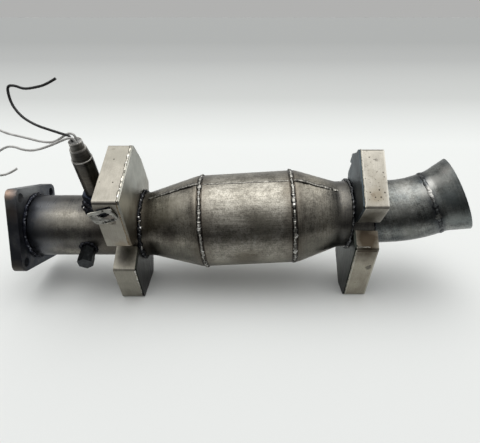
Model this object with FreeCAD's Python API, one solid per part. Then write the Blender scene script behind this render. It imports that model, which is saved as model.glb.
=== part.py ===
import FreeCAD, Part
import os
from math import radians, cos, sin, tan, pi, hypot

Vector = FreeCAD.Vector
Rotation = FreeCAD.Rotation
Placement = FreeCAD.Placement

# Catalytic converter section of a welded exhaust: a square inlet flange, the
# sensor pipe, the converter can, a bent outlet with a flared end, and two
# pairs of folded sheet brackets that the part stands on.
# The origin is the centre of the flange's mating face. X runs along the
# inlet pipe into the converter and Z is up. All sizes are in millimetres.

# Tube and sheet
pipe_diameter = 60.0
pipe_wall = 1.6
body_diameter = 90.0
sheet_wall = 1.6
slip_clearance = 0.1
seam_clearance = 0.05
bead_leg = 3.0

# Inlet flange
flange_margin = 9.0
flange_thickness = 10.0
flange_corner_radius = 8.0
flange_hole_edge = 8.5
flange_hole_diameter = 9.0
flange_turn = -17.5
pipe_setback = 1.5

# Converter can, measured along its own axis from the knee in the inlet pipe
knee_x = 100.0
body_rise = 4.2
body_swing = -1.6
knee_bend_radius = 90.0
inlet_pipe_insertion = 20.0
neck_start = 8.0
inlet_neck_length = 18.3
inlet_cone_length = 52.3
body_length = 84.7
outlet_cone_length = 42.7
outlet_neck_length = 30.0
cone_land = 4.0
knuckle_radius = 14.0
seam_bead_width = 5.0
seam_bead_height = 1.7

# Catalyst
core_length = 78.0
mat_thickness = 3.0
mat_inset = 4.0
cell_pitch = 6.5
cell_wall = 1.0
core_skin = 1.5

# Outlet
outlet_pipe_start = 6.0
outlet_bend_distance = 276.5
outlet_rise = 26.1
outlet_swing = -7.2
outlet_bend_radius = 88.0
flare_joint_distance = 19.5
flare_length = 24.4
flare_land = 6.0
flare_end_diameter = 69.6

# Oxygen sensor, measured along its own axis from the inlet pipe's axis
sensor_x = 80.0
sensor_clock = 18.0
sensor_lean = 3.0
sensor_thread_diameter = 18.0
sensor_bung_diameter = 26.0
sensor_bung_height = 7.0
sensor_gasket_thickness = 1.2
sensor_gasket_width = 2.2
sensor_hex_size = 22.0
sensor_hex_height = 7.0
sensor_can_diameter = 18.0
sensor_can_length = 37.7
sensor_shoulder_length = 10.0
sensor_shoulder_end_diameter = 14.0
sensor_cap_diameter = 12.0
sensor_cap_end_diameter = 11.4
sensor_cap_length = 6.8
sensor_cap_wall = 0.6
grommet_recess = 0.4
grommet_depth = 6.0
tip_guard_diameter = 12.0
tip_guard_length = 14.0
tip_guard_wall = 0.8
tip_slot_width = 2.0
tip_slot_length = 8.0
thread_clearance = 0.1
shank_depth = 5.0

# Blanked probe boss under the inlet pipe
probe_x = 66.0
probe_clock = 112.0
probe_lean = -2.0
probe_boss_size = 12.0
probe_boss_height = 9.0
probe_thread_diameter = 8.0
plug_head_size = 13.0
plug_head_height = 9.0

# Folded brackets
bracket_width = 22.0
plate_thickness = 2.0
strip_thickness = 2.0
fold_radius = 1.0
bracket_gap = 0.3
inlet_plate_x = 117.4
outlet_plate_x = 315.5
floor_level = -61.4

# Torn clip in the window of the inlet upper strip
clip_thickness = 1.6
clip_offset = 0.35
clip_tilt = 5.0
window_margin = 1.2

# Oxygen sensor leads
black_lead_diameter = 2.2
white_lead_diameter = 2.0

pipe_radius = pipe_diameter / 2
body_radius = body_diameter / 2
neck_radius = pipe_radius + slip_clearance + sheet_wall
flange_size = pipe_diameter + 2 * flange_margin
inlet_cone_start = neck_start + inlet_neck_length
shell_start = inlet_cone_start + inlet_cone_length
shell_end = shell_start + body_length
outlet_neck_start = shell_end + outlet_cone_length
outlet_neck_end = outlet_neck_start + outlet_neck_length

body_frame = Placement(Vector(knee_x, 0, 0), Rotation(body_swing, -body_rise, 0))
sensor_frame = Placement(
    Vector(sensor_x, 0, 0),
    Rotation(Vector(1, 0, 0), sensor_clock) * Rotation(Vector(0, 1, 0), -sensor_lean),
)
probe_frame = Placement(
    Vector(probe_x, 0, 0),
    Rotation(Vector(1, 0, 0), probe_clock) * Rotation(Vector(0, 1, 0), -probe_lean),
)
outlet_direction = Rotation(outlet_swing, -outlet_rise, 0).multVec(Vector(1, 0, 0))


def on_body(distance):
    """The point on the converter's axis at a distance from the knee."""
    return body_frame.multVec(Vector(distance, 0, 0))


def body_axis_at(x):
    """The point where the converter's axis crosses the plane at x."""
    direction = on_body(1) - on_body(0)
    return on_body((x - knee_x) / direction.x)


outlet_bend_point = on_body(outlet_bend_distance)
flare_joint = outlet_bend_point + outlet_direction * flare_joint_distance
outlet_frame = Placement(flare_joint, Rotation(outlet_swing, -outlet_rise, 0))


# Outline helpers

def rounded_edges(points, radii):
    """Straight edges along the points, with a tangent arc at each inner one."""
    edges = []
    start = points[0]
    for index in range(1, len(points) - 1):
        corner = points[index]
        back = (points[index - 1] - corner).normalize()
        ahead = (points[index + 1] - corner).normalize()
        half_turn = (radians(180) - back.getAngle(ahead)) / 2
        reach = radii[index - 1] * tan(half_turn)
        bisector = (back + ahead).normalize()
        centre = corner + bisector * (radii[index - 1] / cos(half_turn))
        arc_start = corner + back * reach
        arc_end = corner + ahead * reach
        arc_middle = centre - bisector * radii[index - 1]
        edges.append(Part.makeLine(start, arc_start))
        edges.append(Part.Arc(arc_start, arc_middle, arc_end).toShape())
        start = arc_end
    edges.append(Part.makeLine(start, points[-1]))
    return edges


def offset_points(points, distance, normal):
    """The open outline moved sideways, to the left seen against the normal."""
    sides = []
    for first, second in zip(points, points[1:]):
        sides.append(normal.cross((second - first).normalize()))
    moved = [points[0] + sides[0] * distance]
    for point, before, after in zip(points[1:], sides, sides[1:]):
        moved.append(point + (before + after) * (distance / (1 + before.dot(after))))
    moved.append(points[-1] + sides[-1] * distance)
    return moved


def fold_radii(points, thickness, inner_radius, normal):
    """Radii of the outline and of its moved copy at every fold of a sheet."""
    outline_radii = []
    moved_radii = []
    for before, corner, after in zip(points, points[1:], points[2:]):
        turn = (corner - before).cross(after - corner).dot(normal)
        if turn > 0:
            outline_radii.append(inner_radius + thickness)
            moved_radii.append(inner_radius)
        else:
            outline_radii.append(inner_radius)
            moved_radii.append(inner_radius + thickness)
    return outline_radii, moved_radii


def sheet_face(points, thickness, inner_radius, normal):
    """The section of a sheet whose one side follows the points."""
    moved = offset_points(points, thickness, normal)
    outline_radii, moved_radii = fold_radii(points, thickness, inner_radius, normal)
    edges = rounded_edges(points, outline_radii)
    edges.append(Part.makeLine(points[-1], moved[-1]))
    edges += rounded_edges(moved[::-1], moved_radii[::-1])
    edges.append(Part.makeLine(moved[0], points[0]))
    return Part.Face(Part.Wire(edges))


def polygon_face(points):
    return Part.Face(Part.makePolygon(points + [points[0]]))


def turned(outline):
    """A solid turned about X from a closed outline of (x, radius) points."""
    face = polygon_face([Vector(x, radius, 0) for x, radius in outline])
    return face.revolve(Vector(0, 0, 0), Vector(1, 0, 0), 360)


def turned_upright(outline):
    """A solid turned about Z from a closed outline of (radius, z) points."""
    face = polygon_face([Vector(radius, 0, z) for radius, z in outline])
    return face.revolve(Vector(0, 0, 0), Vector(0, 0, 1), 360)


def placed(shape, frame):
    moved = shape.copy()
    moved.Placement = frame.multiply(moved.Placement)
    return moved


def swept_round(path, radius):
    """A round bar along a path of tangent lines and arcs."""
    start = path.Vertexes[0].Point
    along = path.Edges[0].tangentAt(path.Edges[0].FirstParameter)
    section = Part.Wire(Part.makeCircle(radius, start, along))
    return Part.Wire(path.Edges).makePipeShell([section], True, True)


def hexagon(size, low, high):
    """A hexagonal prism along Z, measured across its flats."""
    corner_radius = size / 2 / cos(radians(30))
    points = []
    for index in range(6):
        angle = radians(60 * index + 30)
        points.append(Vector(corner_radius * cos(angle), corner_radius * sin(angle), low))
    return polygon_face(points).extrude(Vector(0, 0, high - low))


def round_bar(radius, low, high):
    return Part.makeCylinder(radius, high - low, Vector(0, 0, low))


# Gas path

def inlet_path():
    """Centre line of the inlet pipe, bent slightly at the knee."""
    start = Vector(pipe_setback, 0, 0)
    points = [start, Vector(knee_x, 0, 0), on_body(inlet_pipe_insertion)]
    return Part.Wire(rounded_edges(points, [knee_bend_radius]))


def outlet_path():
    """Centre line of the outlet pipe, from inside the neck to the flare."""
    points = [on_body(outlet_neck_start + outlet_pipe_start), outlet_bend_point, flare_joint]
    return Part.Wire(rounded_edges(points, [outlet_bend_radius]))


def make_inlet_flange():
    """Square plate with rounded corners, four bolt holes and a pipe socket."""
    half = flange_size / 2
    plate = Part.makeBox(flange_thickness, flange_size, flange_size, Vector(0, -half, -half))
    corners = [edge for edge in plate.Edges if abs(edge.tangentAt(edge.FirstParameter).x) > 0.9]
    plate = plate.makeFillet(flange_corner_radius, corners)
    along_x = Vector(1, 0, 0)
    socket_radius = pipe_radius + slip_clearance
    plate = plate.cut(
        Part.makeCylinder(socket_radius, flange_thickness, Vector(pipe_setback, 0, 0), along_x)
    )
    plate = plate.cut(
        Part.makeCylinder(pipe_radius - pipe_wall, flange_thickness, Vector(0, 0, 0), along_x)
    )
    offset = half - flange_hole_edge
    for y in (-offset, offset):
        for z in (-offset, offset):
            plate = plate.cut(
                Part.makeCylinder(
                    flange_hole_diameter / 2, flange_thickness, Vector(0, y, z), along_x
                )
            )
    plate.rotate(Vector(0, 0, 0), along_x, flange_turn)
    return plate


def make_flange_weld():
    """Fillet weld in the corner between the flange and the inlet pipe."""
    foot = pipe_radius + seam_clearance
    face_x = flange_thickness
    start = Vector(face_x, foot, 0)
    top = Vector(face_x, foot + bead_leg, 0)
    end = Vector(face_x + bead_leg, foot, 0)
    crown = (top + end) * 0.5 + Vector(1, 1, 0) * (bead_leg * 0.08)
    edges = [Part.makeLine(start, top), Part.Arc(top, crown, end).toShape()]
    edges.append(Part.makeLine(end, start))
    return Part.Face(Part.Wire(edges)).revolve(Vector(0, 0, 0), Vector(1, 0, 0), 360)


def make_inlet_pipe():
    """Bent tube with a port for the oxygen sensor and one for the probe."""
    path = inlet_path()
    tube = swept_round(path, pipe_radius).cut(swept_round(path, pipe_radius - pipe_wall))
    sensor_port = round_bar(sensor_thread_diameter / 2 + 0.2, 0, pipe_radius + 1)
    probe_port = round_bar(probe_thread_diameter / 2 + 0.2, 0, pipe_radius + 1)
    tube = tube.cut(placed(sensor_port, sensor_frame))
    return tube.cut(placed(probe_port, probe_frame))


def cone_profile(points):
    """Sheet section of a cone with its neck, drawn outside first."""
    outline = [Vector(x, radius, 0) for x, radius in points]
    return sheet_face(outline, sheet_wall, knuckle_radius, Vector(0, 0, -1))


def make_inlet_cone():
    """Spun cone with a straight neck that slides over the inlet pipe."""
    face = cone_profile([
        (neck_start, neck_radius),
        (inlet_cone_start, neck_radius),
        (shell_start - cone_land, body_radius),
        (shell_start, body_radius),
    ])
    return placed(face.revolve(Vector(0, 0, 0), Vector(1, 0, 0), 360), body_frame)


def make_outlet_cone():
    """Spun cone with a straight neck that slides over the outlet pipe."""
    face = cone_profile([
        (shell_end, body_radius),
        (shell_end + cone_land, body_radius),
        (outlet_neck_start, neck_radius),
        (outlet_neck_end, neck_radius),
    ])
    return placed(face.revolve(Vector(0, 0, 0), Vector(1, 0, 0), 360), body_frame)


def make_shell():
    """Rolled sheet can that holds the mat and the catalyst."""
    inner = body_radius - sheet_wall
    can = turned([
        (shell_start, inner), (shell_start, body_radius),
        (shell_end, body_radius), (shell_end, inner),
    ])
    return placed(can, body_frame)


def ring_bead(middle, radius, width, height):
    """A butt weld round a tube: a low arch on the surface, turned about X."""
    foot = radius + seam_clearance
    left = Vector(middle - width / 2, foot, 0)
    right = Vector(middle + width / 2, foot, 0)
    crown = Vector(middle, foot + height, 0)
    edges = [Part.Arc(left, crown, right).toShape(), Part.makeLine(right, left)]
    return Part.Face(Part.Wire(edges)).revolve(Vector(0, 0, 0), Vector(1, 0, 0), 360)


def neck_end_weld(end, outwards):
    """Fillet weld between the end of a neck and the pipe inside it."""
    foot = pipe_radius + seam_clearance
    leg = neck_radius - foot - seam_clearance
    outline = [(end, foot), (end, foot + leg), (end + outwards * leg * 1.6, foot)]
    return placed(turned(outline), body_frame)


def make_mat():
    """Fibre mat wrapped round the catalyst."""
    outer = body_radius - sheet_wall - slip_clearance
    middle = (shell_start + shell_end) / 2
    low = middle - core_length / 2 + mat_inset
    high = middle + core_length / 2 - mat_inset
    mat = turned([
        (low, outer - mat_thickness), (low, outer),
        (high, outer), (high, outer - mat_thickness),
    ])
    return placed(mat, body_frame)


def make_core():
    """Round monolith with square through channels."""
    radius = body_radius - sheet_wall - 2 * slip_clearance - mat_thickness
    low = (shell_start + shell_end - core_length) / 2
    half_cell = (cell_pitch - cell_wall) / 2
    reach = int(radius / cell_pitch) + 1
    outline = Part.Wire(Part.makeCircle(radius, Vector(low, 0, 0), Vector(1, 0, 0)))
    channels = []
    for row in range(-reach, reach + 1):
        for column in range(-reach, reach + 1):
            y = row * cell_pitch
            z = column * cell_pitch
            if hypot(abs(y) + half_cell, abs(z) + half_cell) > radius - core_skin:
                continue
            corners = [(-1, -1), (-1, 1), (1, 1), (1, -1)]
            points = [Vector(low, y + a * half_cell, z + b * half_cell) for a, b in corners]
            channels.append(Part.makePolygon(points + [points[0]]))
    face = Part.Face([outline] + channels)
    return placed(face.extrude(Vector(core_length, 0, 0)), body_frame)


def make_outlet_pipe():
    """Bent tube from the outlet neck up to the flare."""
    path = outlet_path()
    return swept_round(path, pipe_radius).cut(swept_round(path, pipe_radius - pipe_wall))


def make_flare():
    """Flared collar on the outlet pipe's end."""
    face = cone_profile([
        (0, pipe_radius), (flare_land, pipe_radius), (flare_length, flare_end_diameter / 2),
    ])
    return placed(face.revolve(Vector(0, 0, 0), Vector(1, 0, 0), 360), outlet_frame)


# Oxygen sensor and probe boss

def saddle(shape):
    """The shape cut to sit on the outside of the inlet pipe."""
    cutter = Part.makeCylinder(
        pipe_radius + seam_clearance, knee_x, Vector(0, 0, 0), Vector(1, 0, 0)
    )
    return shape.cut(cutter)


def saddle_weld(boss_radius, frame):
    """Weld round a boss, following the curve of the inlet pipe."""
    outer = round_bar(boss_radius + bead_leg, pipe_radius / 2, 2 * pipe_radius)
    inner = round_bar(boss_radius + seam_clearance, pipe_radius / 2, 2 * pipe_radius)
    ring = placed(outer.cut(inner), frame)
    cap = Part.makeCylinder(
        pipe_radius + seam_clearance + bead_leg * 0.8, knee_x, Vector(0, 0, 0), Vector(1, 0, 0)
    )
    return saddle(ring.common(cap))


def make_sensor_parts():
    """The oxygen sensor's own pieces, from the boss up to the grommet."""
    bung_top = pipe_radius + sensor_bung_height
    hex_base = bung_top + sensor_gasket_thickness
    can_base = hex_base + sensor_hex_height
    shoulder_base = can_base + sensor_can_length
    cap_base = shoulder_base + sensor_shoulder_length
    cap_top = cap_base + sensor_cap_length
    thread_radius = sensor_thread_diameter / 2
    can_radius = sensor_can_diameter / 2
    cap_radius = sensor_cap_diameter / 2
    grommet_radius = sensor_cap_end_diameter / 2 - sensor_cap_wall - seam_clearance
    shank_end = pipe_radius - shank_depth

    bung = round_bar(sensor_bung_diameter / 2, pipe_radius / 2, bung_top)
    bung = bung.cut(round_bar(thread_radius + thread_clearance, 0, bung_top))
    gasket_radius = thread_radius + thread_clearance
    gasket = turned_upright([
        (gasket_radius, bung_top), (gasket_radius + sensor_gasket_width, bung_top),
        (gasket_radius + sensor_gasket_width, hex_base), (gasket_radius, hex_base),
    ])
    shank = round_bar(thread_radius, shank_end, hex_base)
    hex_body = shank.fuse(hexagon(sensor_hex_size, hex_base, can_base))
    chamfer = turned_upright([
        (0, hex_base), (sensor_hex_size / 2, hex_base),
        (sensor_hex_size / 2 + 3, hex_base + 1.5), (sensor_hex_size / 2 + 3, can_base - 1.5),
        (sensor_hex_size / 2, can_base), (0, can_base),
    ])
    hex_body = hex_body.common(chamfer.fuse(shank))

    guard = round_bar(tip_guard_diameter / 2, shank_end - tip_guard_length, shank_end)
    guard = guard.cut(
        round_bar(
            tip_guard_diameter / 2 - tip_guard_wall,
            shank_end - tip_guard_length + tip_guard_wall,
            shank_end,
        )
    )
    slot_low = shank_end - tip_guard_length + (tip_guard_length - tip_slot_length) / 2
    for angle in (0, 60, 120):
        slot = Part.makeBox(
            2 * tip_guard_diameter, tip_slot_width, tip_slot_length,
            Vector(-tip_guard_diameter, -tip_slot_width / 2, slot_low),
        )
        slot.rotate(Vector(0, 0, 0), Vector(0, 0, 1), angle)
        guard = guard.cut(slot)

    lower_can = round_bar(can_radius, can_base, shoulder_base)
    rims = [edge for edge in lower_can.Edges if edge.Vertexes[0].Point.z > shoulder_base - 0.1]
    lower_can = lower_can.makeFillet(0.5, [rims[0]])
    shoulder_end = sensor_shoulder_end_diameter / 2
    shoulder = turned_upright([
        (0, shoulder_base), (can_radius - 0.7, shoulder_base),
        (can_radius - 0.7, shoulder_base + 1.2), (shoulder_end, cap_base), (0, cap_base),
    ])
    cap_floor = cap_top - grommet_recess - grommet_depth
    cap = turned_upright([
        (0, cap_base), (cap_radius, cap_base), (sensor_cap_end_diameter / 2, cap_top),
        (sensor_cap_end_diameter / 2 - sensor_cap_wall, cap_top),
        (sensor_cap_end_diameter / 2 - sensor_cap_wall, cap_floor), (0, cap_floor),
    ])
    grommet = round_bar(grommet_radius, cap_floor, cap_top - grommet_recess)

    pieces = {
        "sensor_bung": saddle(placed(bung, sensor_frame)),
        "sensor_bung_weld": saddle_weld(sensor_bung_diameter / 2, sensor_frame),
        "sensor_gasket": placed(gasket, sensor_frame),
        "sensor_hex_body": placed(hex_body, sensor_frame),
        "sensor_tip_guard": placed(guard, sensor_frame),
        "sensor_lower_can": placed(lower_can, sensor_frame),
        "sensor_shoulder": placed(shoulder, sensor_frame),
        "sensor_cap": placed(cap, sensor_frame),
        "sensor_grommet": placed(grommet, sensor_frame),
    }
    return pieces


def make_probe_parts():
    """Threaded boss under the inlet pipe and the plug that blanks it."""
    boss_top = pipe_radius + probe_boss_height
    thread_radius = probe_thread_diameter / 2
    boss = hexagon(probe_boss_size, pipe_radius / 2, boss_top)
    boss = boss.cut(round_bar(thread_radius + thread_clearance, 0, boss_top))
    plug = round_bar(thread_radius, pipe_radius, boss_top)
    plug = plug.fuse(hexagon(plug_head_size, boss_top, boss_top + plug_head_height))
    corner_radius = probe_boss_size / 2 / cos(radians(30))
    pieces = {
        "probe_boss": saddle(placed(boss, probe_frame)),
        "probe_boss_weld": saddle_weld(corner_radius, probe_frame),
        "blanking_plug": placed(plug, probe_frame),
    }
    return pieces


# Brackets

def outlet_envelope(gap):
    """The outlet cone, neck and pipe as one solid, larger by a gap."""
    cone = turned([
        (shell_end, 0), (shell_end, body_radius + gap),
        (shell_end + cone_land, body_radius + gap),
        (outlet_neck_start, neck_radius + gap),
        (outlet_neck_end + 3 * bead_leg, neck_radius + gap),
        (outlet_neck_end + 3 * bead_leg, 0),
    ])
    return placed(cone, body_frame)


def inlet_envelope(gap):
    """The inlet pipe, neck and cone as one solid, larger by a gap."""
    neck = turned([
        (neck_start - bead_leg, 0), (neck_start - bead_leg, neck_radius + gap),
        (inlet_cone_start, neck_radius + gap), (shell_start, body_radius + gap),
        (shell_start, 0),
    ])
    pipe = swept_round(inlet_path(), pipe_radius + gap)
    return placed(neck, body_frame).fuse(pipe)


def section_points(outline, centre, x):
    """Outline points given from the pipe's centre, moved to the plane at x."""
    return [Vector(x, centre.y + y, centre.z + z) for y, z in outline]


def make_strip(outline, centre, x, width, inward, envelope):
    """Sheet strip folded along the outline and cut to the pipe."""
    points = section_points(outline, centre, x)
    normal = Vector(inward, 0, 0)
    face = sheet_face(points, strip_thickness, fold_radius, normal)
    return face.extrude(Vector(width, 0, 0)).cut(envelope)


def make_plate(outline, centre, x, inward, envelope):
    """Flat side plate with the strip's outline and a pipe cut-out."""
    points = section_points(outline, centre, x)
    normal = Vector(inward, 0, 0)
    radii = fold_radii(points, strip_thickness, fold_radius, normal)[0]
    axis_point = Vector(x, centre.y, centre.z)
    edges = rounded_edges(points, radii)
    edges.append(Part.makeLine(points[-1], axis_point))
    edges.append(Part.makeLine(axis_point, points[0]))
    face = Part.Face(Part.Wire(edges))
    return face.extrude(Vector(plate_thickness, 0, 0)).cut(envelope)


def make_plate_weld(face_x, side, envelope):
    """Fillet weld between a plate's open face and the neck inside it."""
    centre = body_axis_at(face_x)
    axis = Vector(side, 0, 0)
    tip_radius = neck_radius + bead_leg * 0.3
    cone = Part.makeCone(neck_radius + bead_leg, tip_radius, bead_leg, centre, axis)
    return cone.cut(envelope)


inlet_centre = body_axis_at(inlet_plate_x)
outlet_centre = body_axis_at(outlet_plate_x)
inlet_floor = floor_level - inlet_centre.z
outlet_floor = floor_level - outlet_centre.z

inlet_upper_outline = [
    (-28.0, 2.6), (-54.7, 5.6), (-73.3, 56.6), (-9.7, 83.9), (12.0, 63.8), (32.0, 33.0), (24.0, 14.0),
]
inlet_lower_outline = [
    (-27.0, -5.0), (-52.2, -20.8), (-37.0, inlet_floor), (9.0, inlet_floor), (17.0, -46.3),
    (20.0, -20.0),
]
outlet_upper_outline = [
    (-27.0, 3.0), (-35.4, 8.4), (-50.7, 28.9), (-13.2, 69.4), (1.0, 52.8), (9.2, 40.0), (8.0, 24.0),
]
outlet_lower_outline = [
    (-26.0, 4.5), (-44.4, -14.4), (-28.1, outlet_floor), (-7.0, outlet_floor), (20.0, -52.8),
    (21.0, -18.0),
]
tab_outline = [(-9.4, 64.2), (3.9, 59.0), (7.6, 50.2), (2.6, 49.8)]


def make_window_and_clip(strip):
    """Torn window in the strip's lower front face, with the bent clip over it."""
    lower, fold = section_points(
        inlet_upper_outline[1:3], inlet_centre, inlet_plate_x - bracket_width
    )
    along = Vector(1, 0, 0)
    down = (lower - fold).normalize()
    outward = along.cross(down)
    if outward.y > 0:
        outward = outward * -1

    def sheet(outline, lift, thickness):
        points = [fold + along * u + down * v + outward * lift for u, v in outline]
        return polygon_face(points).extrude(outward * thickness)

    window_outline = [
        (window_margin, 8.4), (13.8, 4.2), (15.2, 16.8), (14.2, 25.2), (window_margin, 24.6),
    ]
    clip_outline = [(-4.8, 10.4), (14.8, 6.0), (17.4, 17.6), (13.4, 22.6), (-0.8, 22.2)]
    slot_outline = [(4.9, 12.6), (7.4, 11.2), (13.0, 14.6), (11.0, 16.6), (7.0, 16.0)]
    window = sheet(window_outline, -2 * strip_thickness, 3 * strip_thickness)
    clip = sheet(clip_outline, clip_offset, clip_thickness)
    clip = clip.cut(sheet(slot_outline, -1, clip_thickness + 2))
    hinge = fold + along * clip_outline[2][0] + outward * clip_offset
    clip.rotate(hinge, down, clip_tilt if down.cross(along).dot(outward) < 0 else -clip_tilt)
    return strip.cut(window), clip


def make_bracket_parts():
    """Both pairs of folded brackets, each a side plate and a strip."""
    strip_width = bracket_width - plate_thickness
    inlet_cutter = inlet_envelope(bracket_gap)
    outlet_cutter = outlet_envelope(bracket_gap)
    inlet_strip_x = inlet_plate_x - bracket_width
    inlet_inner_x = inlet_plate_x - plate_thickness
    outlet_strip_x = outlet_plate_x + plate_thickness
    pieces = {}
    inlet_sets = (
        ("inlet_upper", inlet_upper_outline, -1),
        ("inlet_lower", inlet_lower_outline, 1),
    )
    for name, outline, inward in inlet_sets:
        pieces[name + "_plate"] = make_plate(
            outline, inlet_centre, inlet_inner_x, inward, inlet_cutter
        )
        pieces[name + "_strip"] = make_strip(
            outline, inlet_centre, inlet_strip_x, strip_width, inward, inlet_cutter
        )
    outlet_sets = (
        ("outlet_upper", outlet_upper_outline, -1),
        ("outlet_lower", outlet_lower_outline, 1),
    )
    for name, outline, inward in outlet_sets:
        pieces[name + "_plate"] = make_plate(
            outline, outlet_centre, outlet_plate_x, inward, outlet_cutter
        )
        pieces[name + "_strip"] = make_strip(
            outline, outlet_centre, outlet_strip_x, strip_width, inward, outlet_cutter
        )
    strip, clip = make_window_and_clip(pieces["inlet_upper_strip"])
    pieces["inlet_upper_strip"] = strip
    pieces["inlet_window_clip"] = clip
    tab_points = section_points(tab_outline, outlet_centre, outlet_plate_x)
    tab = polygon_face(tab_points).extrude(Vector(plate_thickness, 0, 0))
    pieces["outlet_upper_tab"] = tab.cut(pieces["outlet_upper_plate"])
    pieces["inlet_bracket_weld"] = make_plate_weld(inlet_plate_x, 1, inlet_cutter)
    pieces["outlet_bracket_weld"] = make_plate_weld(outlet_plate_x, -1, outlet_cutter)
    return pieces


# Leads

def make_lead(name, points, diameter):
    """A lead: straight runs joined by arcs as large as the runs allow."""
    route = [Vector(*point) for point in points]
    radii = []
    for before, corner, after in zip(route, route[1:], route[2:]):
        back = before - corner
        ahead = after - corner
        half_turn = (radians(180) - back.getAngle(ahead)) / 2
        radii.append(0.45 * min(back.Length, ahead.Length) / tan(half_turn))
    path = Part.Wire(rounded_edges(route, radii))
    tube = swept_round(path, diameter / 2)
    volume_ratio = tube.Volume / (pi * diameter ** 2 / 4 * path.Length)
    print(name, "length %.1f" % path.Length, "volume ratio %.4f" % volume_ratio)
    print("  radii", [round(radius, 1) for radius in radii])
    return tube


black_route = [
    (72.6, -30.7, 94.5), (72.3, -32.2, 99.2), (66.8, -31.0, 100.2), (56.2, -28.0, 102.6),
    (42.3, -25.0, 106.3), (31.0, -22.0, 112.3), (23.9, -19.0, 120.7), (21.7, -17.0, 129.1),
    (22.2, -16.0, 136.3), (27.6, -15.0, 136.4), (33.3, -13.0, 133.2), (41.3, -11.0, 134.0),
    (51.0, -8.8, 136.1), (59.2, -7.0, 140.8),
]
white_upper_route = [
    (75.6, -28.4, 95.3), (75.2, -29.7, 99.1), (71.6, -29.5, 101.2), (66.0, -28.5, 98.6),
    (54.9, -26.4, 91.8),
    (42.4, -24.0, 92.2), (32.3, -21.0, 93.9), (21.4, -18.0, 95.5), (10.8, -15.0, 96.8),
    (0.7, -12.0, 100.3), (-8.1, -10.0, 103.7), (-19.0, -9.0, 101.3), (-26.2, -9.0, 92.1),
    (-23.9, -10.0, 83.3), (-16.6, -12.0, 80.3),
]
white_lower_route = [
    (76.0, -33.1, 93.8), (75.7, -34.7, 98.5), (69.6, -35.0, 97.8), (60.6, -33.6, 93.9),
    (51.6, -31.0, 90.1), (43.3, -30.0, 87.4), (35.0, -28.0, 85.5), (26.6, -26.0, 85.7),
    (19.4, -24.0, 87.8), (11.8, -22.0, 87.4), (3.2, -21.0, 83.0), (-5.1, -20.0, 77.3),
    (-12.5, -19.0, 68.7), (-11.2, -18.0, 59.9), (-2.9, -17.0, 59.1), (5.0, -16.5, 61.2),
    (11.8, -16.0, 65.3),
]

parts = {
    "inlet_flange": make_inlet_flange(),
    "inlet_flange_weld": make_flange_weld(),
    "inlet_pipe": make_inlet_pipe(),
    "inlet_cone": make_inlet_cone(),
    "inlet_neck_weld": neck_end_weld(neck_start, -1),
    "inlet_cone_weld": placed(
        ring_bead(shell_start, body_radius, seam_bead_width, seam_bead_height), body_frame
    ),
    "converter_shell": make_shell(),
    "support_mat": make_mat(),
    "catalyst_core": make_core(),
    "outlet_cone_weld": placed(
        ring_bead(shell_end, body_radius, seam_bead_width, seam_bead_height), body_frame
    ),
    "outlet_cone": make_outlet_cone(),
    "outlet_neck_weld": neck_end_weld(outlet_neck_end, 1),
    "outlet_pipe": make_outlet_pipe(),
    "outlet_flare_weld": placed(
        ring_bead(0, pipe_radius, seam_bead_width, seam_bead_height), outlet_frame
    ),
    "outlet_flare": make_flare(),
    "black_lead": make_lead("black_lead", black_route, black_lead_diameter),
    "white_lead_upper": make_lead("white_lead_upper", white_upper_route, white_lead_diameter),
    "white_lead_lower": make_lead("white_lead_lower", white_lower_route, white_lead_diameter),
}
parts.update(make_sensor_parts())
parts.update(make_probe_parts())
parts.update(make_bracket_parts())

os.makedirs("parts", exist_ok=True)
for node, shape in parts.items():
    shape.exportStep("parts/" + node + ".step")
    print(node, "solids", len(shape.Solids), "volume %.0f" % shape.Volume, "valid", shape.isValid())
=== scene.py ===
import math
import random

import bmesh
import bpy
from mathutils import Euler, Matrix, Vector, noise


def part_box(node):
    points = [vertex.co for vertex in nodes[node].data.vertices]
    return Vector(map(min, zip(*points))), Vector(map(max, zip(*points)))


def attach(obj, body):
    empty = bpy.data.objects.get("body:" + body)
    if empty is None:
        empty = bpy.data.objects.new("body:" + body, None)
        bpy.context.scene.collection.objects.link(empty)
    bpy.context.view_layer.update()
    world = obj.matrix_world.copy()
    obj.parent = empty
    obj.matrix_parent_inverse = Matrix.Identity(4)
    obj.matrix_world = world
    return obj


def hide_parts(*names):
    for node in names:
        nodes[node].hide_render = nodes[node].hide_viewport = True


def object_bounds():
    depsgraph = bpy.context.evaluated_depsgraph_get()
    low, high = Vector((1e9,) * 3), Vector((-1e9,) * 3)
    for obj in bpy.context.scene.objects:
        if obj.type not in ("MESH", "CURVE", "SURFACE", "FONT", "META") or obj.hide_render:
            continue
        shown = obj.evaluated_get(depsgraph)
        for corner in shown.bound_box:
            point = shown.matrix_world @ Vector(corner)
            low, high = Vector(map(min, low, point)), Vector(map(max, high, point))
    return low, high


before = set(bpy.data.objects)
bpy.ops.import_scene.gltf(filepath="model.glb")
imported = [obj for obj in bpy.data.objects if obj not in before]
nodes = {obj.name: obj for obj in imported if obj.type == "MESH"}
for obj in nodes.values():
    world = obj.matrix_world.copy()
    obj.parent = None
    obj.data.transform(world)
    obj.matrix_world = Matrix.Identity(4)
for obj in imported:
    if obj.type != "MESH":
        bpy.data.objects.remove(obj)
cad_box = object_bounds()


# Inlet flange
# A 78 mm square of 10 mm steel plate with rounded corners, four bolt holes and a socket
# for the pipe. Heat has blued it nearly black, and its upper near corner has rusted.

def new_finish(name, metallic=1.0):
    """An empty finish: its material, its node tree and its shader."""
    finish = bpy.data.materials.new(name)
    finish.use_nodes = True
    shader = finish.node_tree.nodes["Principled BSDF"]
    shader.inputs["Metallic"].default_value = metallic
    return finish, finish.node_tree, shader


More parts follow.
